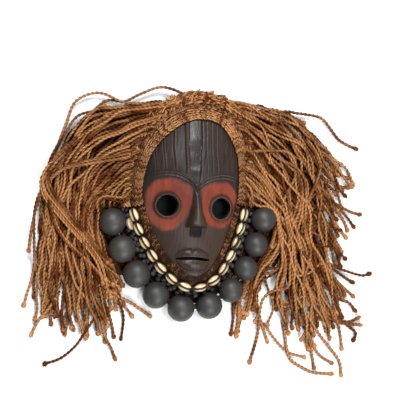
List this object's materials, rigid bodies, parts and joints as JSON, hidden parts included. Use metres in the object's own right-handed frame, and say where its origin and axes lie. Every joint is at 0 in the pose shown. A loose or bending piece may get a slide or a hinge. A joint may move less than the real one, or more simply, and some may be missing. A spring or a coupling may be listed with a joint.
{
  "type": "tribal mask",
  "caption": "Carved wooden mask with round eye holes, plaited headband, shell-trimmed jaw strip, seed balls and two masses of fibre cords, lying on its back.",
  "frame": {"origin": "on the flat back of the wooden rim, in the middle of its top, where a hanger would be fixed", "axes": "+Z out of the face, the way it looks when the mask lies on its back; +Y to the top of the head; +X to the viewer's right"},
  "size_m": [0.5161, 0.4162, 0.0732],
  "materials": {
    "dark_wood": "dark polished wood with rust-red paint round the eyes",
    "band_fibre": "plaited brown plant fibre",
    "strip_fibre": "dark brown matted fibre",
    "shell": "glossy cream cowrie shell",
    "bead": "small glossy dark beads",
    "seed": "matte charcoal seed ball",
    "hair_fibre": "twisted golden-brown plant fibre cord"
  },
  "bodies": {
    "root": {"wood_face": "dark_wood", "headband": "band_fibre", "jaw_strip": "strip_fibre", "small_beads": "bead", "hair_left": "hair_fibre", "hair_right": "hair_fibre", "cowrie_01": "shell", "cowrie_02": "shell", "cowrie_03": "shell", "cowrie_04": "shell", "cowrie_05": "shell", "cowrie_06": "shell", "cowrie_07": "shell", "cowrie_08": "shell", "cowrie_09": "shell", "cowrie_10": "shell", "cowrie_11": "shell", "cowrie_12": "shell", "cowrie_13": "shell", "cowrie_14": "shell", "cowrie_15": "shell", "seed_ball_01": "seed", "seed_ball_02": "seed", "seed_ball_03": "seed", "seed_ball_04": "seed", "seed_ball_05": "seed", "seed_ball_06": "seed", "seed_ball_07": "seed", "seed_ball_08": "seed", "seed_ball_09": "seed", "seed_ball_10": "seed"}
  },
  "joints": []
}
